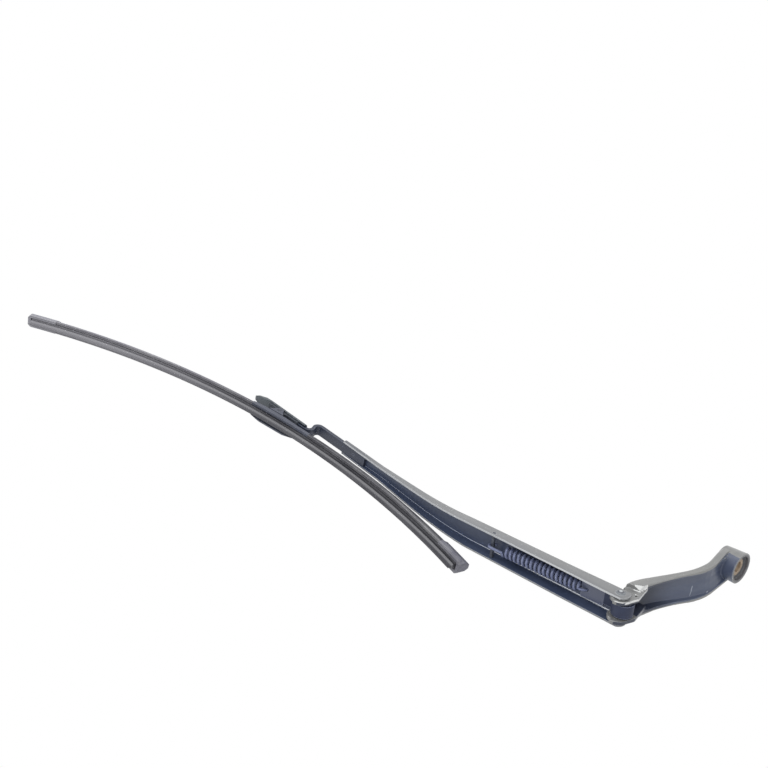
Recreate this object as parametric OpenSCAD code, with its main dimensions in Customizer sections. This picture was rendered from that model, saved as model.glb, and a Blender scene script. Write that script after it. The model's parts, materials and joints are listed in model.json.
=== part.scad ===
// Front window wiper arm with a beam blade, folded up on its hinge.
// The origin is the middle of the spindle bore, at its lower mouth.
// X runs toward the hinge, Y along the hinge rivet and Z up, away from the glass.

/* [Fold] */
// Angle of the arm above its lowered line when it leans on its stop
raised_angle = 85; // [75:1:90]
// Angle of the blade to the outer half of the arm, tip toward the glass
blade_pitch = 7.5; // [4:0.5:9]

/* [Mounting head] */
// Distance from the spindle to the hinge
spindle_reach = 116; // [95:1:150]
// Sideways distance from the hinge line to the spindle
spindle_offset = 4.5; // [1:0.5:10]
// Height of the hinge above the lower mouth of the spindle bore
hinge_height = 26.5; // [23:0.5:32]
// Outer diameter of the spindle boss
boss_d = 25.2; // [23:0.2:30]
// Height of the spindle boss
boss_h = 17; // [14:0.5:20]
// Diameter of the recess in the lower face of the boss
recess_d = 20; // [17:0.5:21]
// Depth of the recess in the lower face of the boss
recess_depth = 3; // [2:0.5:5]
// Diameter of the pocket for the spindle nut in the top of the boss
nut_pocket_d = 18; // [15:0.5:20]
// Depth of the pocket for the spindle nut
nut_pocket_depth = 4.5; // [3:0.5:6]
// Width of the head next to the boss
root_w = 26.6; // [25.6:0.2:28]
// Width of the head at its waist
head_w = 24.4; // [22:0.2:25]
// Distance from the front of the shoulder to the waist
waist_back = 40; // [36:1:44]
// Width of the shoulder next to the hinge
shoulder_w = 27.2; // [26:0.2:29]
// Depth of the side walls between the boss and the waist
head_depth = 6.5; // [5.5:0.1:8]
// Depth of the side walls at the shoulder
shoulder_depth = 10.2; // [9:0.2:12]
// Thickness of the cast walls of the head
head_wall = 2.6; // [2:0.1:3]
// Extra thickness of the side walls at the shoulder
shoulder_wall = 1.5; // [1:0.1:1.8]
// How far the boss stands above the long edges of the head
boss_rise = 4.1; // [3:0.1:6]
// Height of the shoulder's long edges above the hinge
shoulder_rise = 4.3; // [3:0.1:5]
// Distance from the spindle to the foot of the slope up to the shoulder
slope_start = 26; // [22:1:32]
// Side of the small square hole in one ear
ear_hole = 2.3; // [1.8:0.1:2.6]

/* [Spindle bush] */
// Bore that takes the spindle
bore_d = 9; // [7:0.5:10]
// Outer diameter of the bush pressed into the boss
bush_d = 14; // [13:0.5:16]

/* [Hinge] */
// Diameter of the hinge rivet
rivet_d = 5; // [4:0.2:5.6]
// Diameter of the domed rivet heads
rivet_head_d = 8; // [7:0.2:10]
// Height of the domed rivet heads
rivet_head_h = 1.6; // [1:0.1:2.2]
// Wall of the plastic hinge bushes
hinge_bush_wall = 1; // [0.8:0.1:1.4]
// Running clearance round the rivet
rivet_play = 0.06; // [0.03:0.01:0.1]
// Gap between a bush flange and the side wall of the arm
side_play = 0.25; // [0.2:0.05:0.5]
// Thickness of the elastic pad that the raised arm leans on
pad_t = 1.6; // [1:0.1:2.4]

/* [Arm] */
// Length of the arm from the rivet to the bend of its tongue
arm_length = 315; // [280:1:380]
// Width of the arm at the hinge
arm_w_root = 23.6; // [22.8:0.2:28]
// Width of the arm where it starts to taper
arm_w_mid = 22; // [19:0.2:26]
// Height of the arm's back above the rivet
arm_top = 7.4; // [7:0.1:8]
// Height of the side walls at the hinge
arm_h_root = 13.8; // [13:0.1:16]
// Height of the side walls where the arm starts to taper
arm_h_mid = 11.2; // [10.6:0.1:14]
// Height of the side walls where the taper ends
arm_h_tip = 6; // [5.4:0.1:8]
// Distance from the rivet to the start of the taper
taper_start = 136; // [128:1:150]
// Distance from the rivet to the end of the taper
taper_end = 236; // [215:1:255]
// Distance from the rivet to the end of the side walls
channel_end = 281; // [268:1:300]
// Thickness of the pressed sheet
sheet = 1.4; // [1.2:0.1:1.8]
// How far the middle of the arm's back stands above its edges
crown_rise = 2; // [1:0.1:3]
// Radius between the back and the side walls
edge_r = 2.6; // [1.8:0.1:3.4]
// Sideways bend of the arm
bend_angle = 9.7; // [4:0.1:14]
// Distance from the rivet to the middle of the sideways bend
bend_middle = 165; // [155:1:175]
// Length over which the arm bends
bend_run = 60; // [40:1:70]

/* [Tongue] */
// Width of the steel tongue
tongue_w = 9.2; // [8.6:0.1:9.4]
// Thickness of the steel tongue
tongue_t = 3; // [2.5:0.1:3.5]
// Length of the tongue inside the arm
tongue_grip = 26; // [18:1:34]
// Drop of the tongue from the arm to the adapter
tongue_drop = 14.7; // [14:0.1:18]
// Angle at which the tongue leans back on its way down
tongue_lean = 25; // [10:1:38]
// Inner radius of the tongue's bends
tongue_bend = 2.5; // [2:0.1:2.8]
// Length of the tongue past the pivot
tongue_reach = 14; // [12:0.5:14.5]
// Side of the square locking hole in the tongue
lock_hole = 4; // [3:0.1:4.6]
// Diameter of the rivet that joins tongue and arm
tongue_rivet_d = 3; // [2:0.1:4]

/* [Tension spring] */
// Outer diameter of the spring
spring_od = 10; // [8:0.1:10.4]
// Diameter of the spring wire
wire_d = 2.2; // [1.6:0.1:2.4]
// Number of coils
coils = 18; // [14:1:20]
// Distance from the rivet to the first coil
spring_start = 33; // [31:0.5:36]
// Length of the coiled part
spring_length = 67; // [60:0.5:69]
// Distance from the rivet to the pin that holds the spring
anchor_x = 111; // [109:0.5:116]
// Diameter of the pin that holds the spring
anchor_d = 3; // [2.4:0.1:3.6]
// Distance from the hinge rivet to the link pin in the head
link_pin_r = 6.4; // [6.2:0.1:7]
// Diameter of the link pin in the head
link_pin_d = 3; // [2.4:0.1:3.2]
// Thickness of the link between spring and head
link_t = 1.8; // [1.4:0.1:2.2]
// Width of the link between the ears of the head
link_w = 10; // [7:0.2:11]
// Width of the flat part of the link
link_plate_w = 14; // [11:0.5:15]

/* [Blade] */
// Length of the blade on the side of the arm's tip
blade_outer = 266; // [200:1:300]
// Length of the blade on the side of the head
blade_inner = 232; // [200:1:245]
// Radius of the curved blade when nothing presses it
blade_r = 600; // [560:5:900]
// Width of the spoiler at its foot
blade_w = 12; // [11.8:0.1:14]
// Height of the spoiler above the rails
spoiler_h = 8.6; // [7:0.1:9.4]
// Width of one steel rail
rail_w = 3.6; // [3:0.1:4]
// Thickness of the steel rails
rail_t = 0.8; // [0.7:0.05:0.9]
// Width of the rubber between the rails
neck_w = 2.4; // [2:0.1:3]
// Width of the rubber's upper body below the rails
rubber_w = 6.2; // [5:0.1:7]
// Depth of the rubber below the rails
rubber_depth = 8.6; // [7:0.1:10]
// Thickness of the wiping lip
lip_t = 0.9; // [0.6:0.1:1.2]
// Length of each end cap
cap_length = 28; // [24:1:36]
// Width of each end cap
cap_w = 13.6; // [13.4:0.1:15]
// How far the blade's rails stop short of its ends
rail_inset = 5; // [4:0.5:8]

/* [Bracket and adapter] */
// Distance from the pivot to the bracket's end on the side of the arm's tip
bracket_outer = 25; // [24:0.5:30]
// Distance from the pivot to the bracket's end on the side of the head
bracket_inner = 40; // [39:0.5:46]
// Width of the bracket at its skirts
bracket_w = 15.4; // [15.2:0.1:18]
// Height of the pivot above the blade's rails
pivot_height = 6.3; // [6.2:0.1:8]
// Diameter of the pivot pin
pivot_d = 4.4; // [4:0.1:4.6]
// Distance from the tongue's bend to the pivot
pivot_ahead = 30; // [29:0.5:32]
// Distance from the pivot to the adapter's end on the side of the head
adapter_back = 21; // [18:0.5:22]
// Distance from the pivot to the adapter's end on the side of the arm's tip
adapter_front = 16; // [16:0.5:18]
// Width of the adapter between the bracket's cheeks
adapter_w = 11.4; // [11:0.1:11.6]
// Length of the cover's closed tail past the adapter
cover_tail = 20; // [15:1:22]
// Width of the adapter's cover above the bracket
cover_w = 13.8; // [13.4:0.1:15]
// Travel of the release button
button_travel = 1.2; // [0.8:0.1:1.4]

/* [Hidden] */
$fn = 64;

// Clearances between pieces that move past each other
nose_gap = 0.5;
swing_gap = 0.8;
stop_gap = 0.3;
slide_gap = 0.2;
// Overshoot of a cutting tool past the face it opens
over = 1;

// Height of the boss above the lower mouth of the bore
boss_top = boss_h - recess_depth;
bore_length = boss_top - nut_pocket_depth;

// Heights in the arm, measured from the rivet
tongue_top = arm_top - sheet;
tip_half = tongue_w / 2 + slide_gap + sheet;
tip_height = sheet + tongue_t + slide_gap;
wall_draft = 3;

// Hinge stack, from the middle plane outward
flange_t = 0.6;
ear_out = arm_w_root / 2 - sheet - side_play - flange_t;
ear_t = 3;
ear_in = ear_out - ear_t;
nose_r = arm_top - 0.4;
ear_r = nose_r + 2.2;
bush_bore = rivet_d + 2 * rivet_play;
bush_out = bush_bore + 2 * hinge_bush_wall;
crown_cut = sqrt(pow(nose_r + nose_gap, 2) - pow(arm_top - sheet, 2));
stop_z = arm_top + crown_rise + stop_gap;

// Arc of the sideways bend
bend_start = bend_middle - bend_run / 2;
bend_end = bend_middle + bend_run / 2;
bend_r = bend_run / (bend_angle * PI / 180);

// Line from the spring's pin to the link pin with the arm raised
anchor_z = -1;
pin_angle = raised_angle / 2;
link_x = -link_pin_r * cos(pin_angle);
link_z = link_pin_r * sin(pin_angle);
spring_tilt = atan2(link_z - anchor_z, anchor_x - link_x);
pin_distance = norm([anchor_x - link_x, link_z - anchor_z]);
coil_r = (spring_od - wire_d) / 2;

// Heights at the blade's pivot
adapter_web = 0.9;
adapter_floor = 1;
cover_roof = 1;
cheek_r = 3.8;
lobe_r = pivot_d / 2 + 1.1;
button_length = 9;
button_w = 7.4;
cover_lip = 8;
cover_length = cover_lip + adapter_back + adapter_front + cover_tail;
pivot_z = tongue_top - tongue_drop - tongue_t - adapter_web - pivot_d / 2;
adapter_foot = pivot_z + pivot_d / 2 + adapter_web;
adapter_top = adapter_foot + tongue_t + slide_gap;
cheek_t = 1.7;
cheek_in = adapter_w / 2 + slide_gap;
rail_y = neck_w / 2;
rail_out = rail_y + rail_w;
deg_per_mm = 180 / (PI * blade_r);

// Section of the blade, measured from the middle plane of its rails
groove_gap = 0.12;
rail_play = 0.05;
slot_half = rail_t / 2 + rail_play;
neck_half = neck_w / 2 - rail_play;
flange_half = rubber_w / 2 - 0.2;
flange_top = rail_t / 2 + 1;
claw_in = rubber_w / 2 + 0.6;
claw_foot = -rail_t / 2 - 1.05;
foot_top = rail_t / 2 + 0.4;
fin_half = 0.6;
skirt_t = 1.5;
skirt_foot = -3.4;
bracket_top = 2.4;

function clamp(t) = max(0, min(1, t));
function smooth(t) = clamp(t) * clamp(t) * (3 - 2 * clamp(t));
function unit(v) = v / norm(v);
function flip(list) = [for (i = [len(list) - 1 : -1 : 0]) list[i]];

// Middle line of the arm in plan, by distance from the rivet
function turn(s) = bend_angle * clamp((s - bend_start) / bend_run);
function mid_x(s) = s <= bend_start ? s
    : bend_start + bend_r * sin(turn(s)) + max(0, s - bend_end) * cos(bend_angle);
function mid_y(s) = s <= bend_start ? 0
    : bend_r * (1 - cos(turn(s))) + max(0, s - bend_end) * sin(bend_angle);

// Size of the arm's section, by distance from the rivet
function arm_half(s) = lookup(s, [[0, arm_w_root / 2], [taper_start, arm_w_mid / 2],
    [taper_end, tip_half]]);
function arm_height(s) = lookup(s, [[0, arm_h_root], [taper_start, arm_h_mid],
    [taper_end, arm_h_tip], [channel_end, tip_height]]);
function arm_rise(s) = crown_rise * (1 - clamp(s / taper_end));
function arm_edge(s) = lookup(s, [[0, edge_r], [taper_end, sheet + slide_gap]]);
function arm_flare(s) = arm_height(s) * tan(wall_draft) / 2 * clamp((s - 12) / 30)
    * clamp((channel_end - s) / 40);

// Arched outline of a channel, from its right foot over the back to its left foot
function arch(top_half, foot_half, r, top, foot, rise) = concat(
    [[foot_half, foot]],
    [for (q = [0 : 22.5 : 90]) [top_half - r + r * cos(q), top - r + r * sin(q)]],
    [for (j = [0.5, 0, -0.5]) [j * (top_half - r), top + rise * (1 - j * j)]],
    [for (q = [90 : 22.5 : 180]) [r - top_half + r * cos(q), top - r + r * sin(q)]],
    [[-foot_half, foot]]);

// The same outline with its inner face, for a channel with a given wall
function channel(top_half, foot_half, r, top, foot, rise, wall) = concat(
    arch(top_half, foot_half, r, top, foot, rise),
    flip(arch(top_half - wall, foot_half - wall, max(r - wall, 0.2), top - wall, foot, rise)));

function arm_ring(s) = [for (p = channel(arm_half(s) - arm_flare(s), arm_half(s) + arm_flare(s),
    arm_edge(s), arm_top, arm_top - arm_height(s), arm_rise(s), sheet))
    [mid_x(s) - p[0] * sin(turn(s)), mid_y(s) + p[0] * cos(turn(s)), p[1]]];

// Shape of the head, by distance from the spindle
head_front = spindle_reach - arm_top - swing_gap;
waist_x = head_front - waist_back;
head_low = boss_top - boss_rise;
head_high = hinge_height + shoulder_rise;
slope_end = head_front - 6;
wall_run = 20;
function head_y(x) = -spindle_offset * smooth(x / (2 * boss_d));
function head_top(x) = head_low + (head_high - head_low) * smooth((x - slope_start) / (slope_end - slope_start));
function head_half(x) = lookup(x, [[0, boss_d / 2 - slide_gap], [boss_d, root_w / 2],
    [1.4 * boss_d, root_w / 2], [waist_x, head_w / 2], [waist_x + 12, head_w / 2],
    [head_front - 9, shoulder_w / 2 - slide_gap], [head_front, shoulder_w / 2]]);
function head_deep(x) = lookup(x, [[waist_x - 10, head_depth], [head_front - wall_run, shoulder_depth]]);
function head_thick(x) = head_wall + shoulder_wall * smooth((x - head_front + wall_run + 8) / wall_run);
function head_ring(x) = [for (p = channel(head_half(x), head_half(x), edge_r, head_top(x),
    head_top(x) - head_deep(x), crown_rise, head_thick(x))) [x, head_y(x) + p[0], p[1]]];

// Slanted corner and end face of the shoulder beside each ear
corner_x = head_front - 7.5;
corner_tilt = 31.3;
corner_turn = 46.4;
end_tilt = 16;

// Solid through a row of closed rings that have the same number of points
module loft(rings) {
    n = len(rings[0]);
    last = len(rings) - 1;
    points = [for (ring = rings) each ring];
    sides = [for (i = [0 : last - 1]) for (j = [0 : n - 1])
        let (a = i * n + j, b = i * n + (j + 1) % n) each [[a, b + n, b], [a, a + n, b + n]]];
    end = last * n;
    caps = [for (i = [0 : n / 2 - 2]) let (k = n - 1 - i) each [[i, k - 1, k], [i, i + 1, k - 1],
        [end + i, end + k, end + k - 1], [end + i, end + k - 1, end + i + 1]]];
    polyhedron(points, concat(sides, caps), convexity = 8);
}

// Round bar along Y between two sideways positions
module along_y(d, from, to) {
    translate([0, from, 0]) rotate([-90, 0, 0]) cylinder(d = d, h = to - from);
}

// Profile drawn in X and Z, made w wide along Y about the middle
module across(w) {
    translate([0, w / 2, 0]) rotate([90, 0, 0]) linear_extrude(w) children();
}

// Domed rivet head that grows along +Z
module dome(d, h) {
    ball_r = (d * d / 4 + h * h) / (2 * h);
    intersection() {
        cylinder(d = d, h = h);
        translate([0, 0, h - ball_r]) sphere(ball_r, $fn = 96);
    }
}

module in_head() {
    translate([spindle_reach, -spindle_offset, hinge_height]) children();
}

module in_arm() {
    in_head() rotate([0, -raised_angle, 0]) children();
}

module in_tip() {
    in_arm() translate([mid_x(arm_length), mid_y(arm_length), 0]) rotate([0, 0, bend_angle]) children();
}

module in_spring() {
    in_arm() translate([anchor_x, 0, anchor_z]) rotate([0, spring_tilt, 0]) children();
}

module in_blade() {
    in_tip() translate([pivot_ahead, 0, pivot_z]) rotate([0, blade_pitch, 0]) children();
}

// Section drawn in Y and Z above the rails, swept along the curved blade
module along_blade(from, to) {
    in_blade() translate([0, 0, -pivot_height - blade_r]) rotate([90, 0, 0])
        rotate([0, 0, 90 - to * deg_per_mm])
        rotate_extrude(angle = (to - from) * deg_per_mm, $fn = 720)
        translate([blade_r, 0]) rotate(-90) children();
}

// Side view of one ear of the head
module ear_shape() {
    circle(nose_r);
    intersection() {
        circle(ear_r);
        translate([-ear_r, -ear_r]) square([2 * ear_r, ear_r]);
    }
    polygon([[-arm_top - 20, arm_top - 4.4], [0, arm_top - 4.4], [0, -ear_r],
        [-ear_r + 2, -ear_r - 1.8], [-arm_top - 20, -ear_r + 3]]);
}

// Part taken off the shoulder outside one ear, from the ear's foot
module shoulder_cut(side) {
    size = arm_w_root;
    rotate([0, end_tilt, 0]) translate([0, side > 0 ? 0 : -size, -size]) cube([size, size, 2 * size]);
    translate([0, side * over, 0]) rotate([0, corner_tilt, side * corner_turn])
        translate([0, -size, -size]) cube(2 * size);
}

module mounting_head() {
    color("lightslategray") difference() {
        union() {
            difference() {
                loft([for (i = [0 : 24]) head_ring(i * head_front / 24)]);
                in_head() along_y(2 * (arm_top + swing_gap), -arm_w_root, arm_w_root);
                in_arm() translate([1, -arm_w_root, -arm_w_root])
                    cube([3 * arm_w_root, 2 * arm_w_root, arm_w_root + stop_z + pad_t]);
                for (side = [-1, 1])
                    translate([corner_x, side * ear_out - spindle_offset, head_high - shoulder_depth])
                    shoulder_cut(side);
            }
            translate([0, 0, -recess_depth]) cylinder(d = boss_d, h = boss_h);
            for (side = [-1, 1]) in_head() translate([0, side * (ear_in + ear_t / 2), 0])
                across(ear_t) ear_shape();
        }
        translate([0, 0, -recess_depth - over]) cylinder(d = recess_d, h = recess_depth + over);
        translate([0, 0, -over]) cylinder(d = bush_d, h = boss_h);
        translate([0, 0, bore_length]) cylinder(d = nut_pocket_d, h = boss_h);
        in_head() along_y(bush_out, -arm_w_root, arm_w_root);
        in_head() translate([-link_pin_r * cos(pin_angle), 0, -link_pin_r * sin(pin_angle)])
            along_y(link_pin_d, -arm_w_root, arm_w_root);
        in_head() translate([-ear_r, ear_out, -nose_r])
            cube([ear_hole, 2 * ear_t + over, ear_hole], center = true);
    }
}

module spindle_bush() {
    color("peru") difference() {
        cylinder(d = bush_d, h = bore_length);
        translate([0, 0, -over]) cylinder(d = bore_d, h = bore_length + 2 * over);
    }
}

module stop_pad() {
    color("dimgray") in_arm() translate([1.2, -6, stop_z]) cube([4, 12, pad_t]);
}

module hinge_bush() {
    color("gainsboro") for (side = [0, 1]) in_head() mirror([0, side, 0]) difference() {
        union() {
            along_y(bush_out, ear_in, ear_out);
            along_y(bush_out + 3, ear_out, ear_out + flange_t);
        }
        along_y(bush_bore, 0, arm_w_root);
    }
}

module link_pin() {
    color("silver") in_head() translate([-link_pin_r * cos(pin_angle), 0, -link_pin_r * sin(pin_angle)])
        along_y(link_pin_d, -ear_out, ear_out);
}

module arm_channel() {
    root = -arm_top - over;
    color("slategray") in_arm() difference() {
        loft([for (i = [0 : 32]) arm_ring(root + i * (channel_end - root) / 32)]);
        translate([crown_cut - 40, -arm_w_root / 2 + sheet, -arm_w_root])
            cube([40, arm_w_root - 2 * sheet, 2 * arm_w_root]);
        difference() {
            translate([-20, -arm_w_root, -arm_w_root]) cube([20, 2 * arm_w_root, 2 * arm_w_root]);
            along_y(2 * arm_top, -arm_w_root, arm_w_root);
        }
        along_y(rivet_d, -arm_w_root, arm_w_root);
        translate([anchor_x, 0, anchor_z]) along_y(anchor_d, -arm_w_root, arm_w_root);
        at_tongue_rivet() cylinder(d = tongue_rivet_d, h = 20);
    }
}

// Foot of the rivet that joins tongue and arm, in the arm's frame
module at_tongue_rivet() {
    s = channel_end - tongue_grip / 2;
    translate([mid_x(s), mid_y(s), tongue_top - tongue_t]) children();
}

// Points of an arc in X and Z
function arc(centre, r, from, to) = [for (i = [0 : 6]) let (q = from + i * (to - from) / 6)
    centre + r * [cos(q), sin(q)]];

module arm_tongue() {
    grip = arm_length - channel_end + tongue_grip;
    low = tongue_top - tongue_drop;
    tip = pivot_ahead + tongue_reach;
    outer = tongue_bend + tongue_t;
    both_r = outer + tongue_bend;
    leg = (tongue_drop - both_r - both_r * sin(tongue_lean)) / cos(tongue_lean);
    knee = [-outer, tongue_top - outer];
    heel = knee + both_r * [cos(tongue_lean), -sin(tongue_lean)] - leg * [sin(tongue_lean), cos(tongue_lean)];
    color("darkslategray") in_tip() difference() {
        across(tongue_w) polygon(concat([[-grip, tongue_top]],
            arc(knee, outer, 90, -tongue_lean), arc(heel, tongue_bend, 180 - tongue_lean, 270),
            [[tip, low], [tip, low - tongue_t]],
            arc(heel, outer, 270, 180 - tongue_lean), arc(knee, tongue_bend, -tongue_lean, 90),
            [[-grip, tongue_top - tongue_t]]));
        translate([pivot_ahead - lock_hole / 2, -lock_hole / 2, low - tongue_t - over])
            cube([lock_hole, lock_hole, tongue_t + 2 * over]);
        translate([channel_end - arm_length - tongue_grip / 2, 0, 0]) cylinder(d = tongue_rivet_d, h = 20);
    }
}

module hinge_rivet() {
    color("silver") in_arm() {
        along_y(rivet_d, -arm_w_root / 2, arm_w_root / 2);
        for (side = [-1, 1]) translate([0, side * arm_w_root / 2, 0]) rotate([-90 * side, 0, 0])
            dome(rivet_head_d, rivet_head_h);
    }
}

module anchor_pin() {
    color("silver") in_arm() translate([anchor_x, 0, anchor_z])
        along_y(anchor_d, -arm_half(anchor_x), arm_half(anchor_x));
}

// Middle line of the spring wire, from the hook in the link to the hook on its pin
near_coil = spring_start - anchor_x;
far_coil = near_coil + spring_length;
far_run = anchor_d / 2 + wire_d / 2 - coil_r - far_coil;
near_run = 2;
steps = 14;
wire_line = concat(
    [for (q = [190 : -18 : 10]) [near_coil - near_run * clamp(q / 60) - coil_r * sin(q), 0, -coil_r * cos(q)]],
    [for (i = [0 : coils * steps]) let (q = i * 360 / steps)
        [near_coil + spring_length * i / (coils * steps), coil_r * sin(q), -coil_r * cos(q)]],
    [for (q = [10 : 18 : 190]) [far_coil + far_run * clamp(q / 20) + coil_r * sin(q), 0, -coil_r * cos(q)]]);
function along(i) = unit(wire_line[min(i + 1, len(wire_line) - 1)] - wire_line[max(i - 1, 0)]);
function square_to(v, t) = unit(v - (v * t) * t);
wire_side = [for (i = 0, v = square_to([0, 1, 0], along(0)); i < len(wire_line);
    i = i + 1, v = square_to(v, along(min(i, len(wire_line) - 1)))) v];

module tension_spring() {
    color("gray") in_spring() loft([for (i = [0 : len(wire_line) - 1])
        let (u = wire_side[i], v = cross(along(i), u))
        [for (q = [0 : 45 : 315]) wire_line[i] + wire_d / 2 * (cos(q) * u + sin(q) * v)]]);
}

module tension_link() {
    rivet_x = -anchor_x * cos(spring_tilt) + anchor_z * sin(spring_tilt);
    cup_r = 6.2;
    plate_end = near_coil - wire_d / 2 - slide_gap;
    color("gray") in_spring() difference() {
        intersection() {
            across(link_plate_w) {
                translate([rivet_x - 2.6, -1.8]) difference() {
                    circle(cup_r + link_t);
                    circle(cup_r);
                    translate([-0.6, 0.9 + link_t / 2]) square(2 * cup_r + 4);
                    translate([-2 * cup_r, 4.8]) square(4 * cup_r);
                }
                translate([rivet_x + 3.6, -link_t / 2]) square([plate_end - rivet_x - 3.6, link_t]);
            }
            linear_extrude(60, center = true) {
                translate([rivet_x - 20, -link_w / 2]) square([34, link_w]);
                translate([rivet_x + 13, -link_plate_w / 2]) square([60, link_plate_w]);
            }
        }
        translate([near_coil - near_run - coil_r, 0, -10]) cylinder(d = wire_d + 3 * slide_gap, h = 20);
    }
}

module tongue_rivet() {
    color("silver") in_arm() at_tongue_rivet() cylinder(d = tongue_rivet_d, h = tongue_t + sheet);
}

// Both sides of a section, from the points of its right side listed from top to foot
function both(right) = concat(right, flip([for (p = right) [-p[0], p[1]]]));

// Groove that holds the rails and the rubber's upper flange, its right side from top to foot
function groove(open) = [[flange_half + groove_gap, flange_top + groove_gap],
    [flange_half + groove_gap, rail_t / 2 + groove_gap],
    [rail_out + groove_gap, rail_t / 2 + groove_gap],
    [rail_out + groove_gap, -rail_t / 2 - groove_gap],
    [claw_in, -rail_t / 2 - groove_gap], [claw_in, claw_foot - open]];

module adapter() {
    back = pivot_ahead - adapter_back;
    front = pivot_ahead + adapter_front;
    foot_z = adapter_foot - adapter_floor;
    color("darkslategray") in_tip() difference() {
        union() {
            across(adapter_w) polygon([[back, adapter_top], [front, adapter_top], [front, foot_z],
                [pivot_ahead + 2.4 * lobe_r, foot_z], [pivot_ahead + lobe_r, pivot_z],
                [pivot_ahead - lobe_r, pivot_z], [pivot_ahead - 2.4 * lobe_r, foot_z], [back, foot_z]]);
            translate([pivot_ahead, 0, pivot_z]) along_y(2 * lobe_r, -adapter_w / 2, adapter_w / 2);
        }
        translate([back - over, -tongue_w / 2 - slide_gap / 2, adapter_foot - slide_gap / 2])
            cube([pivot_ahead - back + tongue_reach + over + slide_gap, tongue_w + slide_gap, 20]);
        translate([pivot_ahead, 0, pivot_z]) along_y(pivot_d + 0.1, -20, 20);
    }
}

module adapter_cover() {
    back = pivot_ahead - adapter_back - cover_lip;
    skirt_z = pivot_z + cheek_r + 0.4;
    top = adapter_top + cover_roof;
    end = back + cover_length;
    half = cover_w / 2;
    color("dimgray") in_tip() difference() {
        intersection() {
            translate([back, 0, skirt_z]) rotate([90, 0, 90]) linear_extrude(cover_length)
                polygon([[-half, 0], [half, 0], [half, top - skirt_z - 1.6], [half - 1.4, top - skirt_z - 0.3],
                    [0, top - skirt_z], [1.4 - half, top - skirt_z - 0.3], [-half, top - skirt_z - 1.6]]);
            across(2 * cover_w) polygon([[back + 1, skirt_z - over], [end, skirt_z - over],
                [end, skirt_z + 0.6], [end - cover_tail + 1, top + over],
                [back, top + over], [back, skirt_z + 1]]);
            translate([0, 0, skirt_z - over]) linear_extrude(20) polygon([[back, -half], [back, half],
                [end - cover_tail, half], [end - 4, half - 3], [end, half - 5], [end, 5 - half],
                [end - 4, 3 - half], [end - cover_tail, -half]]);
        }
        translate([back - over, -adapter_w / 2 - slide_gap / 2, skirt_z - over])
            cube([adapter_back + adapter_front + cover_lip + over + slide_gap, adapter_w + slide_gap,
                adapter_top - skirt_z + over]);
        translate([pivot_ahead - button_length / 2 - slide_gap, -button_w / 2 - slide_gap, skirt_z])
            cube([button_length + 2 * slide_gap, button_w + 2 * slide_gap, 20]);
        for (i = [0 : 4]) translate([back + 4 + 2.4 * i, -20, top - 0.6]) cube([1.2, 40, 2]);
    }
}

module release_button() {
    post = lock_hole - 2 * slide_gap;
    color("black") in_tip() translate([pivot_ahead, 0, adapter_top]) {
        translate([-button_length / 2, -button_w / 2, button_travel + 0.1])
            cube([button_length, button_w, cover_roof + 0.6]);
        translate([-post / 2, -post / 2, button_travel - tongue_t])
            cube([post, post, tongue_t + over]);
    }
}

module wiper_rubber() {
    color("black") along_blade(rail_inset - 1 - blade_inner, blade_outer - rail_inset + 1)
        polygon(both([[flange_half, flange_top], [flange_half, slot_half], [neck_half, slot_half],
            [neck_half, -slot_half], [rubber_w / 2, -slot_half], [rubber_w / 2, -rail_t / 2 - 1.5],
            [0.7, -rail_t / 2 - 2.1], [0.7, -rail_t / 2 - 2.7], [2.1, -rail_t / 2 - 3.2],
            [1.7, -rail_t / 2 - 4.4], [lip_t / 2, -rail_t / 2 - 6], [lip_t / 2, -rubber_depth]]));
}

module blade_rail() {
    color("silver") for (side = [-1, 1])
        along_blade(rail_inset - blade_inner, blade_outer - rail_inset)
        translate([side * (rail_y + rail_w / 2), 0]) square([rail_w, rail_t], center = true);
}

// Fin on a foot that grips the rails, hollow on its windward side
module spoiler_section() {
    rise = spoiler_h - foot_top;
    windward = [for (t = [1 : -0.125 : 0]) [fin_half + (blade_w / 2 - fin_half) * pow(1 - t, 2.2), foot_top + rise * t]];
    leeward = [for (t = [0 : 0.25 : 1]) [-fin_half - (blade_w / 2 - fin_half) * pow(1 - t, 1.3), foot_top + rise * t]];
    difference() {
        polygon(concat(windward, [[blade_w / 2, claw_foot], [-blade_w / 2, claw_foot]], leeward));
        polygon(both(groove(over)));
    }
}

module spoiler_outer() {
    color("dimgray") along_blade(bracket_outer + slide_gap, blade_outer - cap_length - slide_gap)
        spoiler_section();
}

module spoiler_inner() {
    color("dimgray") along_blade(cap_length + slide_gap - blade_inner, -bracket_inner - slide_gap)
        spoiler_section();
}

// Cap over one end of the blade, between two distances along it, closed at the second
module end_cap(mouth, end) {
    way = sign(end - mouth);
    floor_at = end - way * (rail_inset - 2);
    half = cap_w / 2;
    foot = claw_foot - 0.8;
    difference() {
        intersection() {
            along_blade(min(mouth, end), max(mouth, end))
                polygon(both([[2.2, spoiler_h], [half, foot_top + 1.2], [half, foot], [claw_in, foot]]));
            in_blade() translate([0, 0, -pivot_height - blade_r]) rotate([0, end * deg_per_mm, 0])
                translate([0, 0, blade_r - 20]) linear_extrude(40) polygon([[way, 0], [way, half - 3.6],
                [-3 * way, half + 0.4], [-2 * cap_length * way, half + 0.4], [-2 * cap_length * way, -half - 0.4],
                [-3 * way, -half - 0.4], [way, 3.6 - half]]);
        }
        along_blade(min(mouth - way, floor_at), max(mouth - way, floor_at)) polygon(both(groove(over + 0.8)));
    }
}

module end_cap_outer() {
    color("dimgray") end_cap(blade_outer - cap_length, blade_outer);
}

module end_cap_inner() {
    color("dimgray") end_cap(cap_length - blade_inner, -blade_inner);
}

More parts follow.
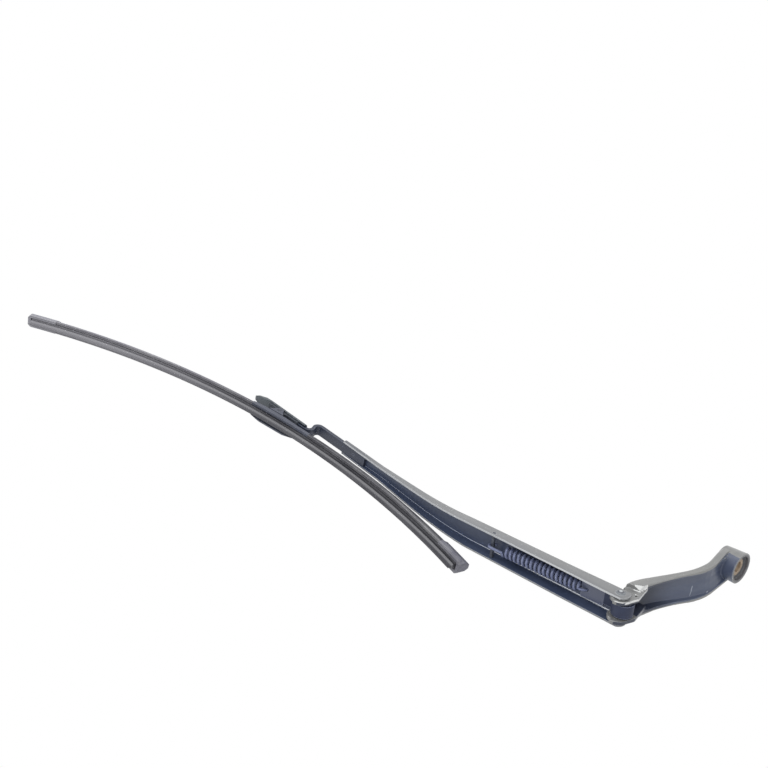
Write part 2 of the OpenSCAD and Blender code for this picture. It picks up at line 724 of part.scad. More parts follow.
module bracket() {
    half = bracket_w / 2;
    slim = blade_w / 2;
    out = bracket_outer;
    in = -bracket_inner;
    skirt_in = -bracket_outer;
    color("dimgray") difference() {
        union() {
            intersection() {
                along_blade(in, out) difference() {
                    polygon(both([[half - 2.4, bracket_top], [half, bracket_top - 1.6], [half, skirt_foot],
                        [half - skirt_t, skirt_foot], [half - skirt_t, claw_foot]]));
                    polygon(both(groove(over)));
                }
                in_blade() translate([0, 0, -60]) linear_extrude(80)
                    polygon([[in - over, -slim], [skirt_in, -slim], [skirt_in + 12, -half], [out - 12, -half],
                        [out + over, -slim], [out + over, slim], [out - 12, half], [skirt_in + 12, half],
                        [skirt_in, slim], [in - over, slim]]);
                in_blade() across(2 * bracket_w) polygon([[in - over, 0], [out + over, 0],
                    [out + over, claw_foot - pivot_height - 0.7], [out - 10, skirt_foot - pivot_height],
                    [skirt_in + 10, skirt_foot - pivot_height], [skirt_in, claw_foot - pivot_height - 0.5],
                    [in - over, claw_foot - pivot_height - 1.5]]);
            }
            in_blade() for (side = [-1, 1]) translate([0, side * (cheek_in + cheek_t / 2), 0]) across(cheek_t) {
                circle(cheek_r);
                polygon([[-cheek_r, 0], [cheek_r, 0], [8, bracket_top - over / 2 - pivot_height],
                    [-8, bracket_top - over / 2 - pivot_height]]);
            }
        }
        in_blade() along_y(pivot_d, -bracket_w, bracket_w);
    }
}

module pivot_pin() {
    color("silver") in_tip() translate([pivot_ahead, 0, pivot_z]) along_y(pivot_d, -cheek_in - cheek_t, cheek_in + cheek_t);
}

mounting_head();
spindle_bush();
stop_pad();
hinge_bush();
link_pin();
arm_channel();
arm_tongue();
tongue_rivet();
hinge_rivet();
anchor_pin();
tension_spring();
tension_link();
adapter();
adapter_cover();
release_button();
wiper_rubber();
blade_rail();
spoiler_outer();
spoiler_inner();
end_cap_outer();
end_cap_inner();
bracket();
pivot_pin();
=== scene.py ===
"""Looks of a front wiper arm with its beam blade, folded up on its hinge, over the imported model."""

import json
import math

import bmesh
import bpy
from mathutils import Matrix, Vector


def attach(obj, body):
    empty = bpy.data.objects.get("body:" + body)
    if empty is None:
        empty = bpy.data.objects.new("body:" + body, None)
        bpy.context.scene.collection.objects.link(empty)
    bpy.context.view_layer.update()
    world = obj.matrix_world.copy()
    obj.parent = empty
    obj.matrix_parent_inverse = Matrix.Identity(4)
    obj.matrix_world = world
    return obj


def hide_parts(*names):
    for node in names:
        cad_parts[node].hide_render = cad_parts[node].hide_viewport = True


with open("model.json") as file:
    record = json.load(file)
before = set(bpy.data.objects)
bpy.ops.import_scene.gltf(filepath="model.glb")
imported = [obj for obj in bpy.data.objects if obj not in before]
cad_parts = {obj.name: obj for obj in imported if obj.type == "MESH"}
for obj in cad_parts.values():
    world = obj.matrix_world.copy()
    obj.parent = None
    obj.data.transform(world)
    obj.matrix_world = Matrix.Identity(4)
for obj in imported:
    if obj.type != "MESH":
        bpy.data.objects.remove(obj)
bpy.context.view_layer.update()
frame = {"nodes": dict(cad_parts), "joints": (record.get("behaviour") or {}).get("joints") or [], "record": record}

MM = 0.001
NODES = frame["nodes"]
JOINTS = {joint["name"]: joint for joint in frame["joints"]}
BODIES = {node: body for body, nodes in frame["record"]["behaviour"]["bodies"].items() for node in nodes}


# Camera

CAMERA_PLACE = Vector((0.700775, 0.414315, -0.317297))
CAMERA_RIGHT = Vector((-0.73482, 0.07565, -0.67403))
CAMERA_FORWARD = Vector((-0.64770, -0.37318, 0.66424))
SENSOR = 36.0
LENS = 50.36
NEAREST = 0.01
FARTHEST = 20.0


def add_camera():
    """Camera at the photograph's viewing angle, below and beside the raised arm."""
    camera = bpy.data.objects.new("camera", bpy.data.cameras.new("camera"))
    bpy.context.scene.collection.objects.link(camera)
    back = -CAMERA_FORWARD.normalized()
    right = (CAMERA_RIGHT - CAMERA_RIGHT.dot(back) * back).normalized()
    up = back.cross(right)
    turn = Matrix((right, up, back)).transposed().to_4x4()
    camera.matrix_world = Matrix.Translation(CAMERA_PLACE) @ turn
    camera.data.sensor_width = SENSOR
    camera.data.lens = LENS
    camera.data.clip_start = NEAREST
    camera.data.clip_end = FARTHEST
    bpy.context.scene.camera = camera


add_camera()


# Places on the object, in metres

HINGE = Vector(JOINTS["arm_fold"]["pos_m"])
PIVOT = Vector(JOINTS["blade_pivot"]["pos_m"])
RAISED = math.radians(85)
BEND = math.radians(9.7)
BLADE_PITCH = math.radians(7.5)
HEAD = Matrix.Identity(4)
RIVET = Matrix.Translation(HINGE)
ARM = RIVET @ Matrix.Rotation(-RAISED, 4, "Y")
TIP = Matrix.Translation(PIVOT) @ Matrix.Rotation(-RAISED, 4, "Y") @ Matrix.Rotation(BEND, 4, "Z")
BLADE = TIP @ Matrix.Rotation(BLADE_PITCH, 4, "Y")
BLADE_RADIUS = 600 * MM
PIVOT_HEIGHT = 6.3 * MM
BEND_START = 135 * MM
BEND_RADIUS = 60 * MM / BEND
BEND_END = BEND_START + BEND_RADIUS * math.sin(BEND)


def smooth_step(value):
    """Soft ramp from 0 to 1."""
    value = min(1.0, max(0.0, value))
    return value * value * (3 - 2 * value)


def fade(value, full, gone):
    """Soft ramp from 1 at one value down to 0 at another."""
    return 1 - smooth_step((value - full) / (gone - full))


def arm_middle(reach):
    """Sideways place of the arm's middle line, which is straight, bends and is straight again."""
    turn = math.asin(min(math.sin(BEND), max(0.0, (reach - BEND_START) / BEND_RADIUS)))
    return BEND_RADIUS * (1 - math.cos(turn)) + max(0.0, reach - BEND_END) * math.tan(BEND)


# Shader arithmetic

class Wire:
    """Output of a shader node that takes part in Python arithmetic."""

    def __init__(self, drawing, socket):
        self.drawing = drawing
        self.socket = socket

    def math(self, operation, first, second=0.0):
        return self.drawing.node("Math", {"operation": operation}, {0: first, 1: second})

    def __add__(self, other):
        return self.math("ADD", self, other)

    def __radd__(self, other):
        return self.math("ADD", other, self)

    def __sub__(self, other):
        return self.math("SUBTRACT", self, other)

    def __rsub__(self, other):
        return self.math("SUBTRACT", other, self)

    def __mul__(self, other):
        return self.math("MULTIPLY", self, other)

    def __rmul__(self, other):
        return self.math("MULTIPLY", other, self)

    def __truediv__(self, other):
        return self.math("DIVIDE", self, other)

    def __pow__(self, other):
        return self.math("POWER", self, other)

    def at_most(self, limit):
        return self.math("MINIMUM", self, limit)

    def sine(self):
        return self.math("SINE", self)


class Drawing:
    """Nodes of a shader, added one by one."""

    def __init__(self, tree):
        self.tree = tree

    def node(self, kind, settings=None, inputs=None, output=0):
        """Adds a node: its settings are set first, then its sockets' values or links."""
        made = self.tree.nodes.new("ShaderNode" + kind)
        for name, value in (settings or {}).items():
            setattr(made, name, value)
        for name, value in (inputs or {}).items():
            self.feed(made.inputs[name], value)
        return Wire(self, made.outputs[output])

    def feed(self, socket, value):
        """Links a wire to a socket, or writes a plain value into it."""
        if isinstance(value, Wire):
            self.tree.links.new(value.socket, socket)
        else:
            socket.default_value = value

    def seen(self):
        """1 for rays from the camera, off a glossy face or through a clear one, 0 for the rest."""
        camera, glossy, through = (self.node("LightPath", output=f"Is {kind} Ray")
                                   for kind in ("Camera", "Glossy", "Transmission"))
        return (camera + glossy + through).at_most(1.0)


class Finish(Drawing):
    """One procedural material, with the nodes that draw it."""

    def __init__(self, name, **constants):
        self.material = bpy.data.materials.new(name)
        self.material.use_nodes = True
        super().__init__(self.material.node_tree)
        self.shader = self.tree.nodes["Principled BSDF"]
        self.set(**constants)
        self.place = self.node("TexCoord", output="Object")

    def set(self, **inputs):
        """Feeds the surface shader's own sockets."""
        for name, value in inputs.items():
            self.feed(self.shader.inputs[name.replace("_", " ")], value)

    def vector(self, operation, first, second, output="Vector"):
        """Vector arithmetic on two wires or plain vectors."""
        return self.node("VectorMath", {"operation": operation}, {0: first, 1: second}, output)

    def stretched(self, scale):
        """The object's coordinates, stretched along its axes."""
        return self.node("Mapping", {}, {"Vector": self.place, "Scale": scale}, "Vector")

    def joined(self, first, second, third):
        """Point made of three values."""
        return self.node("CombineXYZ", {}, {0: first, 1: second, 2: third}, "Vector")

    def along(self, frame_of_piece, axis):
        """Distance along one axis of a frame, in metres."""
        way = frame_of_piece.to_3x3().col[axis]
        reach = self.vector("DOT_PRODUCT", self.place, tuple(way), "Value")
        return reach - way.dot(frame_of_piece.translation)

    def on_blade(self):
        """Reach along the blade, place across it and height over its curved middle line."""
        reach = self.along(BLADE, 0)
        rise = self.along(BLADE, 2) + (PIVOT_HEIGHT + BLADE_RADIUS)
        height = (reach * reach + rise * rise) ** 0.5 - BLADE_RADIUS
        return reach, self.along(BLADE, 1), height

    def noise(self, scale, detail=3.0, roughness=0.55, place=None):
        return self.node("TexNoise", {}, {"Vector": place or self.place, "Scale": scale,
                                          "Detail": detail, "Roughness": roughness}, "Fac")

    def steps(self, value, low, high, bottom=0.0, top=1.0):
        """Smooth step of a value between two levels."""
        return self.node("MapRange", {"interpolation_type": "SMOOTHSTEP", "clamp": True},
                         {"Value": value, "From Min": low, "From Max": high,
                          "To Min": bottom, "To Max": top}, "Result")

    def below(self, value, full, gone):
        """1 up to one level of a value, 0 from a higher level on."""
        return self.steps(value, full, gone, 1.0, 0.0)

    def band(self, value, low, high, soft):
        """1 between two levels of a value, 0 outside them."""
        return self.steps(value, low - soft, low) * self.below(value, high, high + soft)

    def rounded(self, radius):
        """The surface's direction, as if its edges were rounded."""
        return self.node("Bevel", {"samples": BEVEL_SAMPLES}, {"Radius": radius}, "Normal")

    def edge(self, radius):
        """Light that sharp edges pick up: 0 on flat faces, 1 along an edge."""
        flat = self.node("NewGeometry", output="Normal")
        facing = self.vector("DOT_PRODUCT", self.rounded(radius), flat, "Value")
        return self.steps(1.0 - facing, 0.004, 0.09)

    def stroke(self, start, end, width):
        """Fine scratch between two points."""
        run = Vector(end) - Vector(start)
        from_start = self.vector("SUBTRACT", self.place, start)
        part = self.vector("DOT_PRODUCT", from_start, tuple(run), "Value")
        held = self.node("Clamp", {}, {0: part / run.length_squared}, "Result")
        foot = self.vector("MULTIPLY", tuple(run), held)
        gap = self.vector("DISTANCE", from_start, foot, "Value")
        return self.below(gap, 0.5 * width, width)

    def blend(self, mask, first, second):
        """Colour between two colours, by a mask."""
        return self.node("Mix", {"data_type": "RGBA"}, {0: mask, 6: first, 7: second}, 2)

    def bump(self, height, strength, distance, round_edges):
        """Relief of the skin, over edges that look rounded."""
        self.set(Normal=self.node("Bump", {}, {"Height": height, "Strength": strength, "Distance": distance,
                                               "Normal": self.rounded(round_edges)}, "Normal"))


def tone(red, green, blue):
    """Linear colour of three screen levels from 0 to 255."""
    def linear(level):
        part = level / 255
        return part / 12.92 if part <= 0.04045 else ((part + 0.055) / 1.055) ** 2.4
    return (linear(red), linear(green), linear(blue), 1.0)


# Finishes

BEVEL_SAMPLES = 6
RIB_PITCH = 1.5 * MM
COVER_EDGE_HIGHLIGHT = tone(150, 156, 160)
BLADE_GROOVE_SHADE = tone(44, 44, 50)
BLADE_DUST = tone(168, 168, 170)
BLADE_EDGE_HIGHLIGHT = tone(176, 176, 182)
RUBBER_DUST = tone(136, 136, 139)
RUBBER_LIT_OUTER_END = tone(150, 149, 155)


def satin_paint(name, shade, worn_shade, wear_and_highlight_shade, streak, gloss=0.3, coat=0.6, scratches=(), darkening=None):
    """Satin dark paint on metal, with dust, faint runs, chips and scratches, painted highlights along its edges,
    and a darkening along a frame.

    The darkening is given as a frame, the distances along it where it starts and where it is full, and a shade. It
    is painted shade in the head's hollow, the fade of a painted highlight along the arm's bend, and the arm's
    darker end.
    """
    paint = Finish(name, Specular_IOR_Level=0.5, Coat_Roughness=0.2)
    dust = paint.steps(paint.noise(38.0, 5.0), 0.36, 0.7)
    runs = paint.steps(paint.noise(150.0, 4.0, place=paint.stretched(streak)), 0.4, 0.66)
    peel = paint.noise(1500.0, 2.0)
    chips = paint.steps(paint.noise(620.0, 7.0, 0.72), 0.68, 0.74)
    colour = paint.blend(dust * 0.45 + runs * 0.4, shade, worn_shade)
    colour = paint.blend(chips * 0.5, colour, wear_and_highlight_shade)
    # Darkening along a frame: painted shade in the head's hollow, the fade of the bend's painted highlight, and
    # the arm's darker end.
    if darkening:
        frame_of_piece, darkening_start, darkening_full, dark_shade = darkening
        reach = paint.along(frame_of_piece, 0)
        colour = paint.blend(paint.steps(reach, darkening_start, darkening_full) * 0.7, colour, dark_shade)
    for start, end, width in scratches:
        colour = paint.blend(paint.stroke(start, end, width) * 0.8, colour, wear_and_highlight_shade)
    # Painted highlight: sharp edges take the chip colour, standing for the light they catch.
    paint.set(Base_Color=paint.blend(paint.edge(0.7 * MM) * 0.75, colour, wear_and_highlight_shade))
    paint.set(Roughness=gloss + dust * 0.14 + chips * 0.12, Coat_Weight=coat * (1.0 - 0.4 * dust))
    paint.bump(peel * 0.5 + runs * 0.3 + chips * 0.4, 0.12, 0.4 * MM, 0.35 * MM)
    return paint.material


def moulded_plastic(name, shade, pale_shade):
    """Moulded grey plastic with a fine grain, pale dust, and painted highlights along its edges in the dust
    colour.
    """
    plastic = Finish(name, Specular_IOR_Level=0.5)
    dust = plastic.steps(plastic.noise(55.0, 5.0), 0.35, 0.7)
    grain = plastic.noise(2600.0, 2.0)
    specks = plastic.steps(plastic.noise(900.0, 4.0), 0.56, 0.74)
    colour = plastic.blend(dust * 0.6 + specks * 0.3, shade, pale_shade)
    # Painted highlight along the edges, in the dust colour.
    plastic.set(Base_Color=plastic.blend(plastic.edge(0.4 * MM) * 0.5, colour, pale_shade))
    plastic.set(Roughness=0.36 + dust * 0.16)
    plastic.bump(grain + specks * 0.4, 0.15, 0.2 * MM, 0.3 * MM)
    return plastic.material


def ribbed_cover(name, shade, pale_shade, groove_painted_shade):
    """Moulded cover with fine grooves along its sides, darkened with painted shade, and painted highlights along
    its edges.
    """
    cover = Finish(name, Specular_IOR_Level=0.4)
    rib = (cover.along(TIP, 2) * (2 * math.pi / RIB_PITCH)).sine()
    groove = cover.steps(rib, 0.35, 0.8)
    dust = cover.steps(cover.noise(80.0, 5.0), 0.35, 0.7)
    colour = cover.blend(dust * 0.6, shade, pale_shade)
    # Painted shade in the grooves.
    colour = cover.blend(groove * 0.7, colour, groove_painted_shade)
    # Painted highlight along the edges.
    cover.set(Base_Color=cover.blend(cover.edge(0.5 * MM) * 0.7, colour, COVER_EDGE_HIGHLIGHT))
    cover.set(Roughness=0.38 + dust * 0.16)
    cover.bump(cover.noise(2600.0, 2.0) * 0.4 - groove, 0.3, 0.2 * MM, 0.3 * MM)
    return cover.material


def rivet_paint(name, shade, worn_shade, ring_shade, highlight_shade):
    """Painted rivet head with a painted highlight on its crown, inside a darker ring."""
    paint = Finish(name, Specular_IOR_Level=0.5, Coat_Weight=0.4, Coat_Roughness=0.2)
    across, up = paint.along(RIVET, 0), paint.along(RIVET, 2)
    out = (across * across + up * up) ** 0.5
    mottle = paint.steps(paint.noise(500.0, 5.0), 0.35, 0.7)
    colour = paint.blend(mottle * 0.5, shade, worn_shade)
    colour = paint.blend(paint.band(out, 1.6 * MM, 2.3 * MM, 0.3 * MM) * 0.75, colour, ring_shade)
    # Painted highlight: the crown and the edges are drawn bright, as the dome's glint.
    colour = paint.blend(paint.below(out, 0.8 * MM, 1.5 * MM) * 0.8, colour, highlight_shade)
    paint.set(Base_Color=paint.blend(paint.edge(0.5 * MM) * 0.7, colour, highlight_shade))
    paint.set(Roughness=0.32 + mottle * 0.15)
    paint.bump(mottle, 0.1, 0.2 * MM, 0.3 * MM)
    return paint.material


def blade_plastic(name, flank, lit_outer_flank, foot, lit_outer_foot):
    """Dusty rubber or plastic of the blade, with painted shade in grooves along it; painted light makes it lighter
    toward the outer end and darker toward the inner, where the curved blade turns to and from the lamps.
    """
    skin = Finish(name, Specular_IOR_Level=0.35)
    reach, side, height = skin.on_blade()
    # Painted light: the blade is lighter toward its outer end, where its curve turns it to the lamps.
    outer = skin.steps(reach, -60 * MM, 150 * MM)
    dust = skin.steps(skin.noise(70.0, 5.0), 0.34, 0.7)
    streaks = skin.noise(260.0, 4.0, place=skin.joined(reach * 0.06, side, height))
    on_flank = skin.steps(height, -1.0 * MM, 0.4 * MM)
    flank_shade = skin.blend(outer, flank, lit_outer_flank)
    foot_shade = skin.blend(outer, foot, lit_outer_foot)
    colour = skin.blend(on_flank, foot_shade, flank_shade)
    grooves = skin.band(side, 3.1 * MM, 3.5 * MM, 0.25 * MM) + skin.band(side, 4.9 * MM, 5.2 * MM, 0.2 * MM)
    # Painted shade in the grooves along the blade.
    colour = skin.blend(grooves * 0.5, colour, BLADE_GROOVE_SHADE)
    colour = skin.blend(dust * 0.25 + skin.steps(streaks, 0.5, 0.72) * 0.4, colour, BLADE_DUST)
    # Painted highlight along the edges.
    skin.set(Base_Color=skin.blend(skin.edge(0.4 * MM) * 0.4, colour, BLADE_EDGE_HIGHLIGHT))
    skin.set(Roughness=0.44 + dust * 0.2)
    skin.bump(skin.noise(2400.0, 2.0) + streaks * 0.6, 0.15, 0.2 * MM, 0.3 * MM)
    return skin.material


def lip_rubber(name, dark, light, low):
    """Wiping rubber with a darker lip, a darker top, and between them a pale band below its hinge, a painted
    highlight on the side that faces the lamps; it is painted lighter toward the outer end as well.
    """
    skin = Finish(name, Specular_IOR_Level=0.35)
    reach, side, height = skin.on_blade()
    outer = skin.steps(reach, -60 * MM, 200 * MM)
    worn = skin.noise(240.0, 5.0, place=skin.joined(reach * 0.08, side, height))
    mottle = skin.steps(worn, 0.34, 0.68)
    # Painted highlight: the pale band is the rubber's side lit by the lamps.
    shade = skin.blend(skin.steps(height, -5.9 * MM, -5.3 * MM), low, light)
    shade = skin.blend(skin.steps(height, -4.2 * MM, -3.7 * MM), shade, dark)
    shade = skin.blend(mottle * 0.22, shade, RUBBER_DUST)
    # Painted light: the rubber is lighter toward its outer end.
    skin.set(Base_Color=skin.blend(outer * 0.5, shade, RUBBER_LIT_OUTER_END))
    skin.set(Roughness=0.5 + mottle * 0.15)
    skin.bump(skin.noise(2000.0, 2.0) + worn * 0.5, 0.15, 0.2 * MM, 0.25 * MM)
    return skin.material


def steel(name, shade, pale_shade, metal, rough):
    """Bare or plated steel with a mottled skin."""
    surface = Finish(name, Metallic=metal)
    mottle = surface.steps(surface.noise(300.0, 6.0, 0.65), 0.32, 0.7)
    fine = surface.noise(2400.0, 2.0)
    surface.set(Base_Color=surface.blend(mottle, shade, pale_shade))
    surface.set(Roughness=rough + mottle * 0.15)
    surface.bump(fine * 0.6 + mottle * 0.4, 0.12, 0.2 * MM, 0.25 * MM)
    return surface.material


EVEN = (1.0, 1.0, 1.0)
ALONG_HEAD = (0.08, 1.0, 1.0)
ALONG_ARM = (1.0, 1.0, 0.05)
HEAD_SCRATCHES = (
    ((42.5 * MM, -7.3 * MM, 11.6 * MM), (43.5 * MM, -10.9 * MM, 11.2 * MM), 0.5 * MM),
    ((43.5 * MM, -10.9 * MM, 11.2 * MM), (45.1 * MM, -14.0 * MM, 10.8 * MM), 0.35 * MM),
    ((32.8 * MM, -9.2 * MM, 9.1 * MM), (33.7 * MM, -13.2 * MM, 8.1 * MM), 0.35 * MM),
    ((30.7 * MM, -13.7 * MM, 5.1 * MM), (28.1 * MM, -13.3 * MM, 5.7 * MM), 0.5 * MM),
)
# Painted shade in the head's hollow, deepening toward the hinge.
HEAD_PAINTED_SHADE = (HEAD, 56 * MM, 86 * MM, tone(22, 27, 42))
# The arm made darker toward its end.
ARM_END_DARKENING = (ARM, 225 * MM, 268 * MM, tone(78, 82, 92))
# The painted highlight in the arm's bend fades away from the hinge.
BEND_HIGHLIGHT_FADE = (ARM, 90 * MM, 150 * MM, tone(120, 132, 164))

arm_paint = satin_paint(
    "satin_paint_arm", tone(112, 114, 118), tone(128, 129, 130), tone(196, 199, 203), ALONG_ARM,
    darkening=ARM_END_DARKENING)
# Inside of the channel: darker, bluer paint, partly painted shade and partly paint less weathered than outside.
arm_inside_shaded = satin_paint(
    "satin_paint_inside_shaded", tone(62, 72, 95), tone(75, 85, 108), tone(140, 150, 174), ALONG_ARM, coat=0.15)
# Painted highlight: a nearly white line along the far wall's inner bend, standing for the lamp's glint there.
arm_bend_highlight = satin_paint(
    "satin_paint_bend_highlight", tone(232, 236, 244), tone(240, 243, 248), tone(240, 243, 248), (1.0, 1.0, 0.3),
    gloss=0.2, darkening=BEND_HIGHLIGHT_FADE)
# Painted highlight: a pale strip on the near wall's foot, standing for the light its edge catches.
arm_foot_highlight = satin_paint(
    "satin_paint_foot_highlight", tone(178, 181, 186), tone(200, 202, 204), tone(216, 218, 220), (1.0, 1.0, 0.1))
head_paint = satin_paint(
    "satin_paint_head", tone(120, 121, 122), tone(138, 138, 136), tone(206, 208, 208), ALONG_HEAD)
# Hollow of the head: darker, bluer paint, partly the paint's own colour and partly painted shade, with scratches
# and more painted shade toward the hinge.
head_hollow_shaded = satin_paint(
    "satin_paint_hollow_shaded", tone(70, 79, 102), tone(88, 96, 114), tone(168, 174, 186), ALONG_HEAD,
    coat=0.35, scratches=HEAD_SCRATCHES, darkening=HEAD_PAINTED_SHADE)
head_recess = satin_paint(
    "satin_paint_recess", tone(86, 87, 92), tone(104, 104, 106), tone(150, 150, 150), EVEN, coat=0.3)
# Painted highlight: the shoulder's facet is drawn nearly white, as the glint of the lamp on it.
head_shoulder_highlight = satin_paint(
    "satin_paint_facet_highlight", tone(216, 218, 218), tone(228, 228, 226), tone(232, 232, 230), EVEN, gloss=0.22)
tongue_paint = satin_paint(
    "satin_paint_tongue", tone(48, 53, 68), tone(62, 68, 84), tone(110, 118, 134), (1.0, 1.0, 0.06),
    gloss=0.38, coat=0.15)
link_paint = satin_paint(
    "satin_paint_link", tone(76, 82, 103), tone(94, 100, 122), tone(176, 182, 200), (1.0, 1.0, 0.2))
# Painted shade: the link's own paint made darker where it sits between the head's ears; its bright edges are
# painted highlights.
link_painted_shade = satin_paint(
    "link_painted_shade", tone(34, 42, 66), tone(48, 56, 82), tone(150, 158, 184), EVEN, gloss=0.55, coat=0.0)
rivet_head = rivet_paint(
    "hinge_rivet_paint", tone(112, 116, 122), tone(132, 136, 140), tone(58, 62, 72), tone(200, 203, 206))
spoiler_rubber = blade_plastic(
    "spoiler_rubber", tone(50, 50, 58), tone(136, 134, 146), tone(78, 78, 84), tone(124, 123, 130))
cap_plastic = blade_plastic(
    "cap_plastic", tone(98, 98, 112), tone(142, 142, 152), tone(104, 104, 114), tone(150, 150, 158))
cover_plastic = ribbed_cover("cover_plastic", tone(86, 92, 98), tone(110, 116, 120), tone(40, 45, 54))
bracket_plastic = moulded_plastic("bracket_plastic", tone(72, 76, 90), tone(96, 100, 112))
dark_plastic = moulded_plastic("adapter_plastic", tone(58, 62, 70), tone(78, 82, 90))
bush_plastic = moulded_plastic("bush_plastic", tone(60, 64, 74), tone(84, 88, 96))
wiping_rubber = lip_rubber("wiper_rubber", tone(54, 54, 60), tone(112, 112, 115), tone(60, 60, 66))
spring_steel = steel("spring_steel", tone(96, 104, 136), tone(126, 134, 162), 0.15, 0.36)
pin_steel = steel("pin_steel", tone(64, 68, 78), tone(92, 96, 106), 0.5, 0.34)
rail_steel = steel("rail_steel", tone(120, 124, 132), tone(150, 154, 160), 0.8, 0.3)
bush_metal = steel("bush_metal", tone(168, 150, 130), tone(196, 178, 156), 0.3, 0.4)

FINISHES = {
    "mounting_head": head_paint, "spindle_bush": bush_metal, "stop_pad": dark_plastic,
    "hinge_bush": bush_plastic, "link_pin": pin_steel, "arm_channel": arm_paint,
    "arm_tongue": tongue_paint, "tongue_rivet": tongue_paint, "hinge_rivet": rivet_head,
    "anchor_pin": pin_steel, "tension_spring": spring_steel, "tension_link": link_paint,
    "adapter": dark_plastic, "adapter_cover": cover_plastic, "release_button": dark_plastic,
    "wiper_rubber": wiping_rubber, "blade_rail": rail_steel, "spoiler_outer": spoiler_rubber,
    "spoiler_inner": spoiler_rubber, "end_cap_outer": cap_plastic, "end_cap_inner": cap_plastic,
    "bracket": bracket_plastic, "pivot_pin": pin_steel,
}

for name, finish in FINISHES.items():
    for holder in NODES[name].material_slots:
        holder.material = finish


# Shaping

JOIN_DISTANCE = 0.002 * MM
PRESSED_SHARP = math.radians(34)
CAST_SHARP = math.radians(60)


def merged_copy(node):
    """Bmesh of a CAD node with its loose triangles joined."""
    shape = bmesh.new()
    shape.from_mesh(NODES[node].data)
    bmesh.ops.remove_doubles(shape, verts=shape.verts, dist=JOIN_DISTANCE)
    return shape


def finished_piece(name, shape, node, sharp=PRESSED_SHARP, linings=()):
    """Puts a bmesh in a CAD node's place, with its finish and with linings for some of its faces."""
    bmesh.ops.recalc_face_normals(shape, faces=shape.faces)
    for face in shape.faces:
        face.smooth = True
    for edge in shape.edges:
        edge.smooth = len(edge.link_faces) == 2 and edge.calc_face_angle(0.0) < sharp
    mesh = bpy.data.meshes.new(name)
    shape.to_mesh(mesh)
    shape.free()
    for finish in (FINISHES[node], *linings):
        mesh.materials.append(finish)
    piece = bpy.data.objects.new(name, mesh)
    bpy.context.scene.collection.objects.link(piece)
    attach(piece, BODIES[node])
    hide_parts(node)


def cast_skin(shape, voxel, passes):
    """The same shape as a casting: one skin with soft edges and filled corners."""
    mesh = bpy.data.meshes.new("casting")
    shape.to_mesh(mesh)
    shape.free()
    rough = bpy.data.objects.new("casting", mesh)
    bpy.context.scene.collection.objects.link(rough)
    remesh = rough.modifiers.new("skin", "REMESH")
    remesh.mode = "VOXEL"
    remesh.voxel_size = voxel
    evaluated = rough.evaluated_get(bpy.context.evaluated_depsgraph_get())
    skin = bmesh.new()
    skin.from_mesh(evaluated.to_mesh())
    evaluated.to_mesh_clear()
    bpy.data.objects.remove(rough)
    bpy.data.meshes.remove(mesh)
    for _ in range(passes):
        bmesh.ops.smooth_vert(skin, verts=skin.verts, factor=0.5, use_axis_x=True, use_axis_y=True,
                              use_axis_z=True)
    return skin


# Mounting head

BOSS_RADIUS = 12.6 * MM
BOSS_TOP = 14.0 * MM
BOSS_FOOT = -3.0 * MM
BOSS_SKIN = 0.2 * MM
BOSS_DRAFT = 0.08
DRAFT_LENGTH = 16 * MM
RISE_TO_BOSS = 4.1 * MM
RISE_LENGTH = 32 * MM
BEHIND_BOSS = -1 * MM
RIM = 0.5 * MM
TOP_GAP = 0.3 * MM
FLOOR_LIFT = 5.0 * MM
FLOOR_START = 12 * MM
FLOOR_END = 44 * MM
HOLLOW_SIDE = 13 * MM
HOLLOW_FOOT = 6 * MM
FAR_SIDE = -9 * MM
SPINDLE_OFFSET = 4.5 * MM
HEAD_TURN = 50.4 * MM
HEAD_VOXEL = 0.36 * MM
WALL_INSIDE = 11.6 * MM
FLOOR_INSIDE = 11 * MM
RECESS_RADIUS = 10.8 * MM
RECESS_TOP = 10 * MM
EAR_START = 106 * MM
SHOULDER_START = 92.5 * MM
SHOULDER_SIDE = 3.5 * MM
SHOULDER_TOP = 25 * MM
# Shoulder faces turned near this way, and those facing down, take the painted highlight.
SHOULDER_FACET = Vector((0.627, 0.674, -0.389))
HEAD_LININGS = (head_hollow_shaded, head_recess, head_shoulder_highlight)


def lift_hollow_floor(shape):
    """Makes the hollow shallower toward the boss, and returns its floor's points."""
    shape.normal_update()
    floor = set()
    for face in shape.faces:
        centre = face.calc_center_median()
        beside_boss = math.hypot(centre.x, centre.y) > BOSS_RADIUS and centre.x < FLOOR_END
        inside = abs(centre.y) < HOLLOW_SIDE and centre.z > HOLLOW_FOOT
        if face.normal.z < -0.6 and beside_boss and inside:
            floor.update(face.verts)
    for point in floor:
        point.co.z -= FLOOR_LIFT * fade(point.co.x, FLOOR_START, FLOOR_END)
    return floor


def shape_boss(shape, floor):
    """Brings the long edges up to the boss's top, but not the far wall's foot, and tapers the boss."""
    for point in shape.verts:
        place = point.co
        if math.hypot(place.x, place.y) <= BOSS_RADIUS - BOSS_SKIN:
            continue
        far_foot = place.y < FAR_SIDE and place.z < HOLLOW_FOOT and point not in floor
        beside_boss = BEHIND_BOSS < place.x < RISE_LENGTH
        between = BOSS_FOOT < place.z - RIM and place.z < BOSS_TOP - RIM
        if beside_boss and between and not far_foot:
            place.z = min(place.z + RISE_TO_BOSS * fade(place.x, 0.0, RISE_LENGTH), BOSS_TOP - TOP_GAP)
        if place.x < DRAFT_LENGTH:
            height = (place.z - BOSS_FOOT) / (BOSS_TOP - BOSS_FOOT)
            draft = BOSS_DRAFT * fade(place.x, 0.0, DRAFT_LENGTH) * height
            place.x *= 1 - draft
            place.y *= 1 - draft


